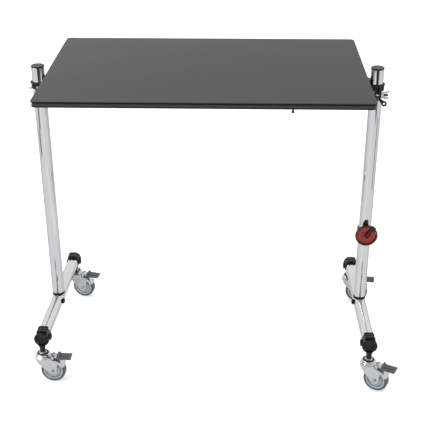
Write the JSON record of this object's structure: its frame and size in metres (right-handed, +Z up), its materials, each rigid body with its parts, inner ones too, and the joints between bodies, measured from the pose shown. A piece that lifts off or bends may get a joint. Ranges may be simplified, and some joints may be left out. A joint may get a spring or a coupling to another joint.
{
  "type": "grooming table",
  "caption": "Height-adjustable grooming table: flat rectangular top clamped between tubular T-legs on braked swivel casters, with a hand crank on one column.",
  "frame": {"origin": "bottom centre of the bounding box, on the floor under the casters", "axes": "+Z up, +Y towards the back, +X to the right seen from the front, where the crank is"},
  "size_m": [1.2284, 0.6498, 1.0375],
  "materials": {
    "chrome": "bright mirror chrome plate on steel tube",
    "laminate_top": "fine-grained dark grey laminate, satin",
    "laminate_edge": "dark grey edging, satin",
    "black_backing": "matt black backing sheet",
    "black_plastic": "moulded black plastic, glossy on the end discs",
    "black_casting": "black powder coat on a casting",
    "nylon": "black nylon",
    "steel": "plated steel",
    "zinc": "bright zinc plate",
    "rim_plastic": "pale grey moulded plastic",
    "tyre": "dark grey rubber tread",
    "pedal_plastic": "ribbed grey plastic",
    "red_plastic": "glossy red plastic",
    "dark_red_plastic": "glossy dark red plastic",
    "crank_black": "black plastic"
  },
  "bodies": {
    "table": {"top_panel": "laminate_top", "top_core": "laminate_edge", "backing_sheet": "black_backing", "hook_peg": "black_plastic", "side_rail_left": "steel", "side_rail_right": "steel", "clamp_body_left": "black_casting", "clamp_body_right": "black_casting", "clamp_liner_left": "nylon", "clamp_liner_right": "nylon", "clamp_bolt_left": "zinc", "clamp_bolt_right": "zinc", "hinge_pin_left": "zinc", "hinge_pin_right": "zinc"},
    "left_leg": {"column_tube_left": "chrome", "column_cap_left": "black_plastic", "column_saddle_left": "black_plastic", "foot_tube_left": "chrome", "foot_screw_cap_left": "black_plastic", "end_sleeve_front_left": "black_plastic", "end_sleeve_rear_left": "black_plastic", "caster_stem_front_left": "zinc", "caster_stem_rear_left": "zinc"},
    "right_leg": {"column_tube_right": "chrome", "column_cap_right": "black_plastic", "column_saddle_right": "black_plastic", "foot_tube_right": "chrome", "foot_screw_cap_right": "black_plastic", "end_sleeve_front_right": "black_plastic", "end_sleeve_rear_right": "black_plastic", "caster_stem_front_right": "zinc", "caster_stem_rear_right": "zinc", "crank_bracket": "black_casting", "crank_axle": "steel"},
    "wing_nut_left": {"wing_nut_left": "zinc"},
    "wing_nut_right": {"wing_nut_right": "zinc"},
    "crank": {"crank_wheel": "red_plastic", "crank_rim": "dark_red_plastic", "crank_hinge": "crank_black"},
    "grip": {"crank_grip": "crank_black"},
    "swivel_front_left": {"caster_fork_front_left": "zinc", "wheel_axle_front_left": "steel"},
    "wheel_front_left": {"wheel_rim_front_left": "rim_plastic", "wheel_tyre_front_left": "tyre"},
    "pedal_front_left": {"brake_pedal_front_left": "pedal_plastic"},
    "swivel_front_right": {"caster_fork_front_right": "zinc", "wheel_axle_front_right": "steel"},
    "wheel_front_right": {"wheel_rim_front_right": "rim_plastic", "wheel_tyre_front_right": "tyre"},
    "pedal_front_right": {"brake_pedal_front_right": "pedal_plastic"},
    "swivel_rear_left": {"caster_fork_rear_left": "zinc", "wheel_axle_rear_left": "steel"},
    "wheel_rear_left": {"wheel_rim_rear_left": "rim_plastic", "wheel_tyre_rear_left": "tyre"},
    "pedal_rear_left": {"brake_pedal_rear_left": "pedal_plastic"},
    "swivel_rear_right": {"caster_fork_rear_right": "zinc", "wheel_axle_rear_right": "steel"},
    "wheel_rear_right": {"wheel_rim_rear_right": "rim_plastic", "wheel_tyre_rear_right": "tyre"},
    "pedal_rear_right": {"brake_pedal_rear_right": "pedal_plastic"}
  },
  "joints": [
    {"name": "left_leg_slide", "type": "slide", "parent": "table", "child": "left_leg", "axis": [0, 0, 1], "range_m": [-0.03, 0.4]},
    {"name": "right_leg_slide", "type": "slide", "parent": "table", "child": "right_leg", "axis": [0, 0, 1], "range_m": [-0.03, 0.4]},
    {"name": "wing_nut_left_turn", "type": "hinge", "parent": "table", "child": "wing_nut_left", "pos_m": [-0.57095, 0.05057, 0.956], "axis": [1, 0, 0], "continuous": true},
    {"name": "wing_nut_right_turn", "type": "hinge", "parent": "table", "child": "wing_nut_right", "pos_m": [0.51565, -0.02143, 0.956], "axis": [1, 0, 0], "continuous": true},
    {"name": "crank_turn", "type": "hinge", "parent": "right_leg", "child": "crank", "pos_m": [0.51685, -0.02893, 0.4504], "axis": [0, 1, 0], "continuous": true},
    {"name": "grip_fold", "type": "hinge", "parent": "crank", "child": "grip", "pos_m": [0.53349, -0.02893, 0.47415], "axis": [-0.8192, 0, 0.5736], "range_deg": [0, 90]},
    {"name": "swivel_front_left_turn", "type": "hinge", "parent": "left_leg", "child": "swivel_front_left", "pos_m": [-0.58139, -0.25723, 0.101], "axis": [0, 0, 1], "continuous": true},
    {"name": "wheel_front_left_roll", "type": "hinge", "parent": "swivel_front_left", "child": "wheel_front_left", "pos_m": [-0.54941, -0.25834, 0.042], "axis": [0.0349, 0.9994, 0], "continuous": true},
    {"name": "pedal_front_left_press", "type": "hinge", "parent": "swivel_front_left", "child": "pedal_front_left", "pos_m": [-0.54841, -0.25838, 0.098], "axis": [0.0349, 0.9994, 0], "range_deg": [0, 6]},
    {"name": "swivel_front_right_turn", "type": "hinge", "parent": "right_leg", "child": "swivel_front_right", "pos_m": [0.5201, -0.26839, 0.101], "axis": [0, 0, 1], "continuous": true},
    {"name": "wheel_front_right_roll", "type": "hinge", "parent": "swivel_front_right", "child": "wheel_front_right", "pos_m": [0.54861, -0.28292, 0.042], "axis": [0.454, 0.891, 0], "continuous": true},
    {"name": "pedal_front_right_press", "type": "hinge", "parent": "swivel_front_right", "child": "pedal_front_right", "pos_m": [0.5495, -0.28337, 0.098], "axis": [0.454, 0.891, 0], "range_deg": [0, 6]},
    {"name": "swivel_rear_left_turn", "type": "hinge", "parent": "left_leg", "child": "swivel_rear_left", "pos_m": [-0.5602, 0.29437, 0.101], "axis": [0, 0, 1], "continuous": true},
    {"name": "wheel_rear_left_roll", "type": "hinge", "parent": "swivel_rear_left", "child": "wheel_rear_left", "pos_m": [-0.5289, 0.28771, 0.042], "axis": [0.2079, 0.9781, 0], "continuous": true},
    {"name": "pedal_rear_left_press", "type": "hinge", "parent": "swivel_rear_left", "child": "pedal_rear_left", "pos_m": [-0.52792, 0.28751, 0.098], "axis": [0.2079, 0.9781, 0], "range_deg": [0, 6]},
    {"name": "swivel_rear_right_turn", "type": "hinge", "parent": "right_leg", "child": "swivel_rear_right", "pos_m": [0.51143, 0.28354, 0.101], "axis": [0, 0, 1], "continuous": true},
    {"name": "wheel_rear_right_roll", "type": "hinge", "parent": "swivel_rear_right", "child": "wheel_rear_right", "pos_m": [0.54312, 0.27909, 0.042], "axis": [0.1392, 0.9903, 0], "continuous": true},
    {"name": "pedal_rear_right_press", "type": "hinge", "parent": "swivel_rear_right", "child": "pedal_rear_right", "pos_m": [0.54411, 0.27895, 0.098], "axis": [0.1392, 0.9903, 0], "range_deg": [0, 6]}
  ],
  "couplings": [
    {"joint": "right_leg_slide", "follows": "left_leg_slide", "ratio": 1}
  ]
}
